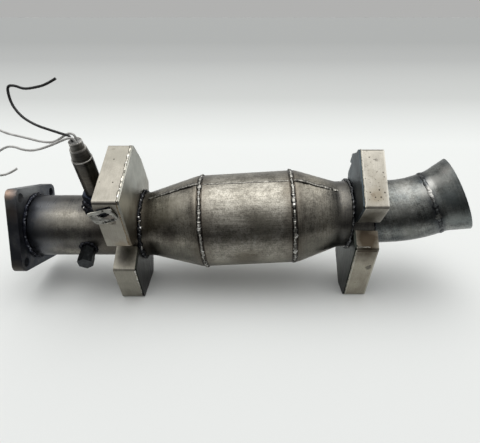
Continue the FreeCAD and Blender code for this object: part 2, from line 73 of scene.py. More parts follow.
def feed(tree, socket, value):
    """Set a node's input to a number, a colour or another node's output."""
    if isinstance(value, bpy.types.NodeSocket):
        tree.links.new(value, socket)
    elif isinstance(value, tuple) and len(value) == 3 and socket.type == "RGBA":
        socket.default_value = (*value, 1.0)
    else:
        socket.default_value = value


def coordinates(tree, place=(0, 0, 0), turn=(0, 0, 0)):
    """Positions in metres, seen from a piece's own place and direction."""
    source = tree.nodes.new("ShaderNodeTexCoord")
    mapping = tree.nodes.new("ShaderNodeMapping")
    mapping.vector_type = "TEXTURE"
    mapping.inputs["Location"].default_value = place
    mapping.inputs["Rotation"].default_value = [math.radians(angle) for angle in turn]
    tree.links.new(source.outputs["Object"], mapping.inputs["Vector"])
    return mapping.outputs["Vector"]


def mottle(tree, where, size, detail=4.0, roughness=0.55, stretch=(1, 1, 1)):
    """Noise in patches about one size across, in metres, times a stretch."""
    mapping = tree.nodes.new("ShaderNodeMapping")
    mapping.inputs["Scale"].default_value = [1 / (size * share) for share in stretch]
    texture = tree.nodes.new("ShaderNodeTexNoise")
    texture.inputs["Scale"].default_value = 1.0
    texture.inputs["Detail"].default_value = detail
    texture.inputs["Roughness"].default_value = roughness
    tree.links.new(where, mapping.inputs["Vector"])
    tree.links.new(mapping.outputs["Vector"], texture.inputs["Vector"])
    return texture.outputs["Fac"]


def shades(tree, level, stops):
    """Colours picked by a level from 0 to 1."""
    ramp = tree.nodes.new("ShaderNodeValToRGB")
    while len(ramp.color_ramp.elements) < len(stops):
        ramp.color_ramp.elements.new(0.5)
    for element, (position, colour) in zip(ramp.color_ramp.elements, stops):
        element.position = position
        element.color = (*colour, 1.0)
    tree.links.new(level, ramp.inputs["Fac"])
    return ramp.outputs["Color"]


def spread_to(tree, level, low, high, from_low=0.3, from_high=0.7):
    """A level moved to a new range."""
    node = tree.nodes.new("ShaderNodeMapRange")
    node.inputs["From Min"].default_value = from_low
    node.inputs["From Max"].default_value = from_high
    node.inputs["To Min"].default_value = low
    node.inputs["To Max"].default_value = high
    tree.links.new(level, node.inputs["Value"])
    return node.outputs["Result"]


def laid_over(tree, share, under, over, mode="MIX"):
    """One colour over another by a share."""
    node = tree.nodes.new("ShaderNodeMix")
    node.data_type = "RGBA"
    node.blend_type = mode
    feed(tree, node.inputs[0], share)
    feed(tree, node.inputs[6], under)
    feed(tree, node.inputs[7], over)
    return node.outputs[2]


def maths(tree, kind, first, second=0.0):
    """One sum on two numbers or levels."""
    node = tree.nodes.new("ShaderNodeMath")
    node.operation = kind
    feed(tree, node.inputs[0], first)
    feed(tree, node.inputs[1], second)
    return node.outputs["Value"]


def tinted(tree, colour, level, share, tone):
    """A colour with a tone over it, by a level times a share."""
    return laid_over(tree, maths(tree, "MULTIPLY", level, share), colour, tone)


def spot(tree, where, centre, radius, ragged=0.5):
    """1 round a place, fading to 0 at a ragged edge."""
    reach = tree.nodes.new("ShaderNodeVectorMath")
    reach.operation = "DISTANCE"
    reach.inputs[1].default_value = centre
    tree.links.new(where, reach.inputs[0])
    tears = mottle(tree, where, radius * 0.7, detail=3.0)
    away = maths(tree, "ADD", reach.outputs["Value"], maths(tree, "MULTIPLY", tears, 2 * ragged * radius))
    soft = 0.5 if radius > 0.005 else 0.2
    edge = 0.9 + ragged
    return spread_to(tree, away, 1.0, 0.0, radius * (edge - soft), radius * (edge + soft))


def blots(tree, where, colour, marks):
    """Ragged marks of (centre, radius, colour, share) over a colour."""
    for centre, radius, tone, share in marks:
        colour = tinted(tree, colour, spot(tree, where, centre, radius), share, tone)
    return colour


def surfaced(tree, shader, colour, roughness, relief, depth, strength=0.4):
    """A shader's colour, roughness and relief, the last of a depth in metres."""
    bump = tree.nodes.new("ShaderNodeBump")
    bump.inputs["Distance"].default_value = depth
    bump.inputs["Strength"].default_value = strength
    tree.links.new(relief, bump.inputs["Height"])
    tree.links.new(bump.outputs["Normal"], shader.inputs["Normal"])
    tree.links.new(colour, shader.inputs["Base Color"])
    tree.links.new(roughness, shader.inputs["Roughness"])


def dress(piece, finish):
    """A piece with one finish all over."""
    piece.data.materials.clear()
    piece.data.materials.append(finish)


def finished(node, finish):
    """A piece of the CAD model in its own finish."""
    dress(nodes[node], finish)


def scaled_steel():
    """Heat-blued plate with loose scale, rust at one corner and a painted highlight greying its top."""
    finish, tree, shader = new_finish("scaled_steel", metallic=0.75)
    where = coordinates(tree)
    patches = mottle(tree, where, 0.011, detail=5.0)
    grit = mottle(tree, where, 0.0011, detail=3.0)
    colour = shades(tree, patches, [
        (0.32, (0.030, 0.034, 0.046)), (0.52, (0.050, 0.056, 0.070)), (0.70, (0.105, 0.106, 0.108)),
    ])
    colour = blots(tree, where, colour, [
        ((0.0020, -0.0390, 0.0160), 0.0140, (0.018, 0.019, 0.024), 0.85),
        ((0.0020, -0.0455, -0.0080), 0.0150, (0.018, 0.019, 0.024), 0.85),
        ((0.0020, -0.0315, 0.0320), 0.0090, (0.030, 0.027, 0.030), 0.75),
        ((0.0030, -0.0262, 0.0470), 0.0058, (0.62, 0.40, 0.28), 1.0),
        ((0.0040, -0.0330, 0.0300), 0.0090, (0.075, 0.060, 0.050), 0.5),
        ((0.0040, -0.0480, -0.0230), 0.0080, (0.095, 0.082, 0.066), 0.7),
        # Painted highlight: a paler grey over the top edge and upper face, where the light falls.
        ((0.0090, -0.0040, 0.0440), 0.0220, (0.300, 0.306, 0.312), 0.8),
    ])
    surfaced(tree, shader, colour, spread_to(tree, grit, 0.36, 0.62), grit, 0.0003)
    return finish


finished("inlet_flange", scaled_steel())


# Flange weld
# A hand-laid fillet of about 3 mm where the pipe leaves the flange. It has oxidised
# nearly black, with only its ripple tops still catching the light.

def weld_steel(name, core, toe, silver=None, crest_glint=None, rough=(0.22, 0.46), marks=()):
    """Rippled weld metal, dark at its toes, with optional silver flecks and optional painted glints on its
    crest.
    """
    finish, tree, shader = new_finish(name)
    where = coordinates(tree)
    edge = tree.nodes.new("ShaderNodeAttribute")
    edge.attribute_name = "toe"
    lumps = mottle(tree, where, 0.0036, detail=3.0)
    flecks = mottle(tree, where, 0.0009, detail=2.0)
    hollow = tuple(0.30 * part for part in core)
    raised = tuple(min(0.85, 1.8 * part) for part in core)
    colour = shades(tree, lumps, [(0.34, hollow), (0.47, core), (0.62, raised)])
    soot = maths(tree, "ADD", edge.outputs["Fac"], spread_to(tree, flecks, -0.2, 0.25))
    colour = laid_over(tree, spread_to(tree, soot, 0.0, 1.0, 0.18, 0.58), colour, toe)
    if silver:
        specks = mottle(tree, where, 0.0052, detail=1.0)
        bright = spread_to(tree, specks, 0.0, 1.0, silver, silver + 0.03)
        colour = laid_over(tree, bright, colour, (0.66, 0.65, 0.62))
    # Painted glints: paler dots on the ripple tops, where the light catches them.
    if crest_glint:
        top = spread_to(tree, edge.outputs["Fac"], 1.0, 0.0, 0.10, 0.22)
        dots = spread_to(tree, mottle(tree, where, 0.0024, detail=1.0), 0.0, 1.0, 0.57, 0.61)
        colour = tinted(tree, colour, top, dots, crest_glint)
    colour = blots(tree, where, colour, marks)
    surfaced(tree, shader, colour, spread_to(tree, flecks, *rough), flecks, 0.0002)
    return finish


def fixed_piece(name, mesh, finish):
    """A new piece made from a mesh and fixed to the part."""
    piece = bpy.data.objects.new(name, mesh)
    bpy.context.scene.collection.objects.link(piece)
    dress(piece, finish)
    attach(piece, "root")
    return piece


def weld_bead(name, stations, width, height, finish, seed, lump=0.25, closed=True):
    """A rippled bead along stations of (centre, up, side), in metres."""
    shares = [-1.0, -0.82, -0.6, -0.3, 0.0, 0.3, 0.6, 0.82, 1.0]
    ripple_turns = 3900
    lumps_per_metre = 240
    sunk = 0.0004
    travelled = 0.0
    points = []
    toes = []
    for index, (centre, up, side) in enumerate(stations):
        if index:
            travelled += (centre - stations[index - 1][0]).length
        seat = centre * lumps_per_metre + Vector((seed, seed * 0.7, 0))
        swell = 1 + lump * noise.noise(seat)
        rise = 1 + lump * 1.8 * noise.noise(seat * 1.9)
        wander = width * 0.16 * noise.noise(seat * 0.8 + Vector((9, 3, seed)))
        section = []
        for share in shares:
            ripple = 1 + 0.13 * math.sin(travelled * ripple_turns + 2.4 * share * share)
            arch = height * (1 - abs(share) ** 2.2) * rise * ripple
            section.append(centre + side * (share * width / 2 * swell + wander) + up * arch)
            toes.append(abs(share) ** 1.5)
        points += section + [section[-1] - up * sunk, section[0] - up * sunk]
        toes += [1.0, 1.0]
    ring = len(shares) + 2
    count = len(stations)
    faces = []
    for index in range(count if closed else count - 1):
        here = index * ring
        there = (index + 1) % count * ring
        for step in range(ring):
            after = (step + 1) % ring
            faces.append((here + step, here + after, there + after, there + step))
    if not closed:
        faces.append(tuple(reversed(range(ring))))
        faces.append(tuple((count - 1) * ring + step for step in range(ring)))
    mesh = bpy.data.meshes.new(name)
    mesh.from_pydata(points, [], faces)
    mesh.polygons.foreach_set("use_smooth", [True] * len(mesh.polygons))
    mesh.attributes.new("toe", "FLOAT", "POINT").data.foreach_set("value", toes)
    mesh.update()
    return fixed_piece(name, mesh, finish)


def ring_stations(place, x, radius, lean=0.0, count=420):
    """Stations round a tube; lean turns the bead's top from outward to along X."""
    stations = []
    turn = place.to_3x3()
    for index in range(count):
        angle = 2 * math.pi * index / count
        outward = Vector((0, -math.sin(angle), math.cos(angle)))
        up = outward * math.cos(lean) + Vector((math.sin(lean), 0, 0))
        side = Vector((math.cos(lean), 0, 0)) - outward * math.sin(lean)
        centre = place @ (Vector((x, 0, 0)) + outward * radius)
        stations.append((centre, turn @ up, turn @ side))
    return stations


pipe_radius = 0.030
flange_thickness = 0.010
fillet_reach = 0.0012
fillet_lean = math.radians(45)
# Its crest colour is painted glints on the ripple tops.
blued_weld = weld_steel(
    "blued_weld", core=(0.022, 0.024, 0.032), toe=(0.010, 0.011, 0.016), crest_glint=(0.22, 0.23, 0.26),
    rough=(0.32, 0.56),
)
flange_corner = ring_stations(
    Matrix.Identity(4), flange_thickness + fillet_reach, pipe_radius + fillet_reach, fillet_lean,
)
flange_bead = weld_bead("flange_bead", flange_corner, 0.0044, 0.0010, blued_weld, seed=3.0, lump=0.4)
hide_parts("inlet_flange_weld")


# Inlet pipe
# 60 mm stainless tube with a 1.6 mm wall, bent a few degrees at its far end. Heat has
# blued it by the flange and browned it by the sensor; it has darker patches low down and painted
# reflections along it.

def grained(tree, colour, level, share, stops):
    """A colour darkened and lightened by the grain that a level gives."""
    return laid_over(tree, share, colour, shades(tree, level, stops), "MULTIPLY")


def along_axis(tree, where, axis):
    """One coordinate of a place."""
    node = tree.nodes.new("ShaderNodeSeparateXYZ")
    tree.links.new(where, node.inputs["Vector"])
    return node.outputs[axis]


def near(tree, value, middle, full, fade):
    """1 within a distance of a middle value, fading to 0 outside it."""
    away = maths(tree, "ABSOLUTE", maths(tree, "SUBTRACT", value, middle))
    return spread_to(tree, away, 1.0, 0.0, full, full + fade)


def heated_steel(
    name, light, middle, dark, place=(0, 0, 0), turn=(0, 0, 0), bands=(), reflection_belts=(), stain=0.5, marks=(),
    brush=(1, 22, 22),
):
    """Brushed stainless, tinted in bands along its axis, with painted reflections in belts by height.

    A band or belt is (middle, half width, fade, colour, share), in metres.
    """
    finish, tree, shader = new_finish(name)
    where = coordinates(tree, place, turn)
    clouds = mottle(tree, where, 0.022, detail=6.0, roughness=0.62)
    blotches = mottle(tree, where, 0.0045, detail=4.0, roughness=0.6)
    brushing = mottle(tree, where, 0.0009, detail=2.0, stretch=brush)
    grain = mottle(tree, where, 0.0012, detail=3.0)
    colour = shades(tree, clouds, [(0.33, dark), (0.50, middle), (0.66, light)])
    for level, share, low, high in (
        (brushing, 0.8, (0.74, 0.74, 0.74), (1.16, 1.15, 1.14)),
        (blotches, stain, (0.50, 0.49, 0.47), (1.08, 1.08, 1.07)),
        (grain, 0.8, (0.50, 0.49, 0.48), (1.12, 1.12, 1.11)),
    ):
        colour = grained(tree, colour, level, share, [(0.32, low), (0.58, high)])
    # Belts by height are painted reflections and highlights on the tube.
    for axis, tints in (("Z", reflection_belts), ("X", bands)):
        for middle_along, full, fade, tone, share in tints:
            inside = near(tree, along_axis(tree, where, axis), middle_along, full, fade)
            uneven = spread_to(tree, blotches, 0.65 * share, 1.1 * share)
            colour = tinted(tree, colour, inside, uneven, tone)
    colour = blots(tree, where, colour, marks)
    worn = maths(tree, "ADD", maths(tree, "MULTIPLY", clouds, 0.6), maths(tree, "MULTIPLY", brushing, 0.4))
    roughness = spread_to(tree, worn, 0.24, 0.42)
    surfaced(tree, shader, colour, roughness, maths(tree, "ADD", grain, brushing), 0.00012, 0.35)
    return finish


inlet_steel = heated_steel(
    "inlet_steel", light=(0.41, 0.388, 0.342), middle=(0.31, 0.294, 0.262), dark=(0.13, 0.125, 0.120),
    bands=[
        (0.010, 0.008, 0.012, (0.018, 0.021, 0.030), 1.2),
        (0.026, 0.004, 0.016, (0.12, 0.125, 0.135), 0.65),
        (0.092, 0.008, 0.024, (0.10, 0.086, 0.070), 0.75),
    ],
    # Painted reflections by height: a darker belt along the top, a dark belt at mid height and a painted
    # highlight just above that.
    reflection_belts=[
        (0.035, 0.009, 0.004, (0.070, 0.070, 0.069), 0.80),
        (0.000, 0.008, 0.006, (0.058, 0.060, 0.064), 0.70),
        (0.017, 0.003, 0.004, (0.44, 0.416, 0.362), 0.5),
    ],
    marks=[
        ((0.0800, -0.0180, 0.0260), 0.0160, (0.035, 0.033, 0.036), 0.8),
        ((0.0660, -0.0280, -0.0112), 0.0110, (0.040, 0.038, 0.040), 0.7),
        ((0.0480, -0.0280, -0.0080), 0.0060, (0.060, 0.056, 0.054), 0.6),
    ],
    stain=0.85,
)
finished("inlet_pipe", inlet_steel)


# Sensor boss
# A 26 mm turned stainless ring welded to the top of the pipe and threaded for the
# oxygen sensor. The rough weld at its foot is blue-black.

def port_place(x, turn):
    """Where a boss stands on the inlet pipe: along it, then turned about X and Y."""
    about_x, about_y = (math.radians(angle) for angle in turn)
    return (
        Matrix.Translation((x, 0, 0))
        @ Matrix.Rotation(about_x, 4, "X")
        @ Matrix.Rotation(about_y, 4, "Y")
    )


def saddle_stations(place, boss_radius, count=150):
    """Stations where an upright boss meets the inlet pipe."""
    stations = []
    turn = place.to_3x3()
    axis = turn @ Vector((0, 0, 1))
    for index in range(count):
        angle = 2 * math.pi * index / count
        outward = turn @ Vector((math.cos(angle), math.sin(angle), 0))
        foot = place.translation + outward * boss_radius
        across = Vector((0, foot.y, foot.z))
        rise = Vector((0, axis.y, axis.z))
        half = across.dot(rise) / rise.length_squared
        rest = (pipe_radius ** 2 - across.length_squared) / rise.length_squared
        point = foot + axis * (math.sqrt(half * half + rest) - half)
        up = (Vector((0, point.y, point.z)).normalized() + outward).normalized()
        stations.append((point + up * 0.0004, up, axis.cross(outward).cross(up).normalized()))
    return stations


sensor_x = 0.080
sensor_turn = (18.0, -3.0)
boss_foot_radius = 0.0142
burnt_weld = weld_steel(
    "burnt_weld", core=(0.026, 0.027, 0.032), toe=(0.009, 0.009, 0.011), silver=0.76, rough=(0.34, 0.58),
)
boss_foot = saddle_stations(port_place(sensor_x, sensor_turn), boss_foot_radius)
boss_bead = weld_bead("boss_bead", boss_foot, 0.0066, 0.0019, burnt_weld, seed=5.0, lump=0.7)
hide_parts("sensor_bung_weld")


def blued_steel(name, base, edge):
    """Blue-black oxide over turned or hexagon steel, rubbed brighter in places."""
    finish, tree, shader = new_finish(name)
    where = coordinates(tree)
    rubbed = mottle(tree, where, 0.0035, detail=4.0)
    grit = mottle(tree, where, 0.0006, detail=2.0)
    lighter = tuple(1.6 * part for part in base)
    colour = shades(tree, rubbed, [(0.42, base), (0.62, lighter), (0.74, edge)])
    surfaced(tree, shader, colour, spread_to(tree, grit, 0.30, 0.52), grit, 0.00015)
    return finish


boss_steel = blued_steel("boss_steel", (0.045, 0.048, 0.058), (0.17, 0.16, 0.15))
finished("sensor_bung", boss_steel)


# Oxygen sensor
# A 22 mm hexagon body screwed into the boss over a folded gasket, with drawn and crimped
# stainless cans above it and a slotted guard over its tip inside the pipe.

hexagon_steel = blued_steel("hexagon_steel", (0.030, 0.036, 0.052), (0.12, 0.12, 0.13))
finished("sensor_hex_body", hexagon_steel)
finished("sensor_gasket", boss_steel)


def drawn_can_steel():
    """Drawn can steel, turned bright at its lips and browned low down."""
    finish, tree, shader = new_finish("drawn_can_steel")
    where = coordinates(tree, (sensor_x, 0, 0), (*sensor_turn, 0))
    height = along_axis(tree, where, "Z")
    rings = mottle(tree, where, 0.0007, detail=2.0, stretch=(22, 22, 1))
    stains = mottle(tree, where, 0.0060, detail=5.0)
    colour = shades(tree, spread_to(tree, height, 0.0, 1.0, 0.045, 0.100), [
        (0.0, (0.060, 0.057, 0.054)), (0.30, (0.135, 0.122, 0.102)), (0.66, (0.130, 0.124, 0.114)),
        (0.70, (0.150, 0.143, 0.132)), (0.88, (0.180, 0.173, 0.162)), (1.0, (0.260, 0.252, 0.240)),
    ])
    colour = grained(tree, colour, rings, 0.7, [(0.30, (0.70, 0.70, 0.70)), (0.70, (1.25, 1.24, 1.22))])
    colour = grained(tree, colour, stains, 0.6, [(0.34, (0.50, 0.48, 0.46)), (0.60, (1.1, 1.1, 1.1))])
    for lip, share in ((0.0824, 0.7), (0.0926, 0.75), (0.0994, 1.0)):
        colour = tinted(tree, colour, near(tree, height, lip, 0.0004, 0.0004), share, (0.60, 0.58, 0.55))
    for groove in (0.0812, 0.0845, 0.0795):
        line = near(tree, height, groove, 0.0002, 0.0004)
        colour = tinted(tree, colour, line, 0.7, (0.035, 0.032, 0.030))
    surfaced(tree, shader, colour, spread_to(tree, stains, 0.28, 0.46), rings, 0.0001, 0.3)
    return finish


can_steel = drawn_can_steel()
for node in ("sensor_lower_can", "sensor_shoulder", "sensor_cap", "sensor_tip_guard"):
    finished(node, can_steel)


def moulded(name, colour, second, rough, patch=0.003):
    """Moulded rubber or plastic with a slightly uneven surface."""
    finish, tree, shader = new_finish(name, metallic=0.0)
    where = coordinates(tree)
    uneven = mottle(tree, where, patch, detail=3.0)
    fine = mottle(tree, where, 0.0004, detail=1.0)
    tone = shades(tree, uneven, [(0.35, colour), (0.65, second)])
    surfaced(tree, shader, tone, spread_to(tree, uneven, rough - 0.08, rough + 0.10), fine, 0.00005, 0.3)
    return finish


grommet_rubber = moulded("grommet_rubber", (0.11, 0.11, 0.11), (0.34, 0.335, 0.325), 0.6)
finished("sensor_grommet", grommet_rubber)


# Sensor leads
# One black and two white silicone-insulated leads, 2 mm thick, come out of the grommet
# together. They were cut off short, and hold the bends they were left in.

def lead(name, node, route, diameter, finish):
    """A lead on one smooth line, led by the points of its route in millimetres."""
    curve = bpy.data.curves.new(name, "CURVE")
    curve.dimensions = "3D"
    curve.bevel_depth = diameter / 2
    curve.bevel_resolution = 4
    curve.resolution_u = 10
    curve.use_fill_caps = True
    spline = curve.splines.new("NURBS")
    spline.points.add(len(route) - 1)
    for point, place in zip(spline.points, route):
        point.co = (*[part / 1000 for part in place], 1.0)
    spline.order_u = 3
    spline.use_endpoint_u = True
    piece = bpy.data.objects.new(name, curve)
    bpy.context.scene.collection.objects.link(piece)
    curve.materials.append(finish)
    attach(piece, "root")
    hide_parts(node)


black_sleeve = moulded("black_sleeve", (0.008, 0.008, 0.009), (0.022, 0.022, 0.023), 0.42)
white_sleeve = moulded("white_sleeve", (0.46, 0.455, 0.44), (0.66, 0.655, 0.64), 0.45, patch=0.006)
lead("black_sensor_lead", "black_lead", [
    (72.6, -30.7, 94.5), (72.3, -32.2, 99.2), (66.8, -31.0, 100.2), (56.2, -28.0, 102.6),
    (42.3, -25.0, 106.3), (31.0, -22.0, 112.3), (23.9, -19.0, 120.7), (21.7, -17.0, 129.1),
    (22.2, -16.0, 136.3), (27.6, -15.0, 136.4), (33.3, -13.0, 133.2), (41.3, -11.0, 134.0),
    (51.0, -8.8, 136.1), (59.2, -7.0, 140.8),
], 0.0022, black_sleeve)
lead("white_sensor_lead_upper", "white_lead_upper", [
    (75.6, -28.4, 95.3), (75.2, -29.7, 99.1), (71.6, -29.5, 101.2), (66.0, -28.5, 98.6),
    (54.9, -26.4, 91.8), (42.4, -24.0, 92.2), (32.3, -21.0, 93.9), (21.4, -18.0, 95.5),
    (10.8, -15.0, 96.8), (0.7, -12.0, 100.3), (-8.1, -10.0, 103.7), (-19.0, -9.0, 101.3),
    (-26.2, -9.0, 92.1), (-23.9, -10.0, 83.3), (-16.6, -12.0, 80.3),
], 0.0020, white_sleeve)
lead("white_sensor_lead_lower", "white_lead_lower", [
    (76.0, -33.1, 93.8), (75.7, -34.7, 98.5), (69.6, -35.0, 97.8), (60.6, -33.6, 93.9),
    (51.6, -31.0, 90.1), (43.3, -30.0, 87.4), (35.0, -28.0, 85.5), (26.6, -26.0, 85.7),
    (19.4, -24.0, 87.8), (11.8, -22.0, 87.4), (3.2, -21.0, 83.0), (-5.1, -20.0, 77.3),
    (-12.5, -19.0, 68.7), (-11.2, -18.0, 59.9), (-2.9, -17.0, 59.1), (5.0, -16.5, 61.2),
    (11.8, -16.0, 65.3),
], 0.0020, white_sleeve)


# Blanked probe boss
# A small 12 mm hexagon boss low on the pipe's near side, closed by a black plug, with a
# rough burnt weld at its foot.

probe_x = 0.066
probe_turn = (112.0, 2.0)
probe_foot_radius = 0.0074
plug_steel = blued_steel("plug_steel", (0.032, 0.035, 0.037), (0.22, 0.22, 0.215))
for node in ("probe_boss", "blanking_plug"):
    finished(node, plug_steel)
probe_foot = saddle_stations(port_place(probe_x, probe_turn), probe_foot_radius)
probe_bead = weld_bead("probe_bead", probe_foot, 0.0036, 0.0011, burnt_weld, seed=8.0, lump=0.6)
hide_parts("probe_boss_weld")


# Inlet cone
# Spun 1.6 mm stainless with a straight neck that slides over the pipe. A flat weld seam
# runs down its upper side, and the ring weld has burnt a line along its wide end.

def rotation_of(turn):
    """The rotation for three angles in degrees."""
    return Euler([math.radians(angle) for angle in turn]).to_matrix()


knee = (0.100, 0, 0)
body_turn = (0, -4.2, -1.6)
body_place = Matrix.Translation(knee) @ rotation_of(body_turn).to_4x4()
neck_radius = 0.0317
body_radius = 0.045
inlet_cone_start = 0.0263
shell_start = 0.0786
shell_end = 0.1633
outlet_neck_start = 0.2060
burn = (0.014, 0.013, 0.012)
tint = (0.115, 0.098, 0.078)
can_bands = [
    (end, *band)
    for band in ((0.0025, 0.0005, burn, 1.5), (0.0045, 0.0075, tint, 0.55))
    for end in (shell_start, shell_end)
]
cone_steel = heated_steel(
    "cone_steel", light=(0.420, 0.395, 0.340), middle=(0.320, 0.303, 0.264), dark=(0.165, 0.153, 0.132),
    place=knee, turn=body_turn, stain=0.6,
    # A painted dark reflection in a belt just below mid height.
    reflection_belts=[(-0.013, 0.006, 0.007, (0.070, 0.070, 0.058), 0.7)],
    bands=can_bands + [
        (inlet_cone_start - 0.009, 0.009, 0.012, (0.080, 0.068, 0.054), 0.75),
        (outlet_neck_start + 0.018, 0.018, 0.014, (0.075, 0.074, 0.074), 0.8),
    ],
    marks=[
        ((0.0480, -0.0360, 0.0060), 0.0110, (0.060, 0.050, 0.040), 0.6),
        # Two painted highlights high on the near side.
        ((0.0560, -0.0260, 0.0300), 0.0120, (0.560, 0.520, 0.440), 0.5),
        ((0.0450, -0.0300, 0.0200), 0.0080, (0.520, 0.480, 0.400), 0.4),
    ],
)
finished("inlet_cone", cone_steel)


def seam_stations(profile, clocks, count):
    """Stations along the can, on a (distance, radius) profile between clock angles."""
    stations = []
    turn = body_place.to_3x3()
    lowest, highest = profile[0][0], profile[-1][0]
    for index in range(count):
        travel = index / (count - 1)
        distance = lowest + (highest - lowest) * travel
        for (first, first_radius), (second, second_radius) in zip(profile, profile[1:]):
            if distance <= second + 1e-9:
                share = (distance - first) / (second - first)
                radius = first_radius + (second_radius - first_radius) * share
                break
        angle = math.radians(clocks[0] + (clocks[1] - clocks[0]) * travel)
        outward = Vector((0, -math.sin(angle), math.cos(angle)))
        across = Vector((0, -math.cos(angle), -math.sin(angle)))
        centre = body_place @ (Vector((distance, 0, 0)) + outward * radius)
        stations.append((centre, turn @ outward, turn @ across))
    return stations


seam_weld = weld_steel("seam_weld", core=(0.26, 0.25, 0.225), toe=(0.016, 0.015, 0.014))
inlet_cone_profile = [
    (0.0280, 0.03222), (0.0320, 0.03290), (0.0700, 0.04435), (0.0745, body_radius), (0.0770, body_radius),
]
weld_bead(
    "inlet_cone_seam", seam_stations(inlet_cone_profile, (15.8, 13.8), 130),
    0.0048, 0.00045, seam_weld, seed=11.0, lump=0.35, closed=False,
)
inlet_neck_end = 0.0078
neck_weld_radius = pipe_radius + 0.0006
inlet_neck_corner = ring_stations(body_place, inlet_neck_end, neck_weld_radius, -fillet_lean)
neck_bead = weld_bead("inlet_neck_bead", inlet_neck_corner, 0.0030, 0.0009, burnt_weld, seed=12.0)
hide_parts("inlet_neck_weld")


# Converter shell
# Rolled 1.6 mm sheet, 90 mm across, lapped on itself near the top, with a bright ring
# weld to a cone at each end. It is brushed lengthwise, with straw-coloured clouds.

shell_steel = heated_steel(
    "shell_steel", light=(0.405, 0.388, 0.348), middle=(0.315, 0.300, 0.266), dark=(0.185, 0.174, 0.150),
    place=knee, turn=body_turn, stain=0.6, bands=can_bands,
    # A painted reflection of the floor: a pale belt low on the can.
    reflection_belts=[(-0.031, 0.004, 0.008, (0.44, 0.41, 0.335), 0.6)],
    brush=(24, 1, 1),
    marks=[
        ((0.1180, -0.0380, -0.0230), 0.0140, (0.130, 0.112, 0.085), 0.7),
        ((0.1350, -0.0415, 0.0130), 0.0120, (0.160, 0.150, 0.122), 0.6),
    ],
)
finished("converter_shell", shell_steel)
bright_weld = weld_steel(
    "bright_weld", core=(0.25, 0.243, 0.223), toe=(0.018, 0.017, 0.016), silver=0.62,
)
for name, distance, node, seed in (
    ("inlet_ring_bead", shell_start, "inlet_cone_weld", 21.0),
    ("outlet_ring_bead", shell_end, "outlet_cone_weld", 23.0),
):
    bead = weld_bead(
        name, ring_stations(body_place, distance, body_radius - 0.0001, count=700),
        0.0036, 0.0009, bright_weld, seed=seed, lump=0.8,
    )
    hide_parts(node)
weld_bead(
    "shell_lap_seam", seam_stations([(0.0815, body_radius), (0.1605, body_radius)], (15.3, 17.7), 150),
    0.0018, 0.00035, seam_weld, seed=25.0, lump=0.4, closed=False,
)


# Catalyst and mat
# A ceramic honeycomb brick, 78 mm long with a grey-brown washcoat, held in the shell by
# an expanding fibre mat.

def soft_dust(name, patches, patch_size, rough, stretch=(1, 1, 1)):
    """Dry porous surface with dust in its grain."""
    finish, tree, shader = new_finish(name, metallic=0.0)
    where = coordinates(tree)
    uneven = mottle(tree, where, patch_size, detail=5.0, stretch=stretch)
    dust = mottle(tree, where, 0.0007, detail=2.0)
    roughness = spread_to(tree, dust, rough, 0.96)
    surfaced(tree, shader, shades(tree, uneven, patches), roughness, dust, 0.0002)
    return finish


washcoat = soft_dust("washcoat", [
    (0.34, (0.20, 0.165, 0.125)), (0.52, (0.34, 0.295, 0.235)), (0.68, (0.45, 0.41, 0.345)),
], 0.009, 0.78)
mat_fibre = soft_dust("mat_fibre", [
    (0.32, (0.42, 0.38, 0.31)), (0.66, (0.68, 0.64, 0.56)),
], 0.0012, 0.85, stretch=(1, 6, 2))
finished("catalyst_core", washcoat)
finished("support_mat", mat_fibre)


# Outlet cone and pipe
# The cone mirrors the inlet's. The bent 60 mm tube beyond it, and the flared collar butt
# welded to its end, ran cooler and are greyer and bluer than the can.

finished("outlet_cone", cone_steel)
outlet_cone_profile = [
    (0.1652, body_radius), (0.1675, body_radius), (0.1720, 0.04420), (0.2010, 0.03310), (0.2055, 0.03212),
]
weld_bead(
    "outlet_cone_seam", seam_stations(outlet_cone_profile, (17.0, 21.5), 120),
    0.0048, 0.00045, seam_weld, seed=27.0, lump=0.35, closed=False,
)
outlet_neck_end = 0.2365
outlet_neck_corner = ring_stations(body_place, outlet_neck_end, neck_weld_radius, fillet_lean)
outlet_neck_bead = weld_bead("outlet_neck_bead", outlet_neck_corner, 0.0030, 0.0009, burnt_weld, seed=29.0)
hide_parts("outlet_neck_weld")

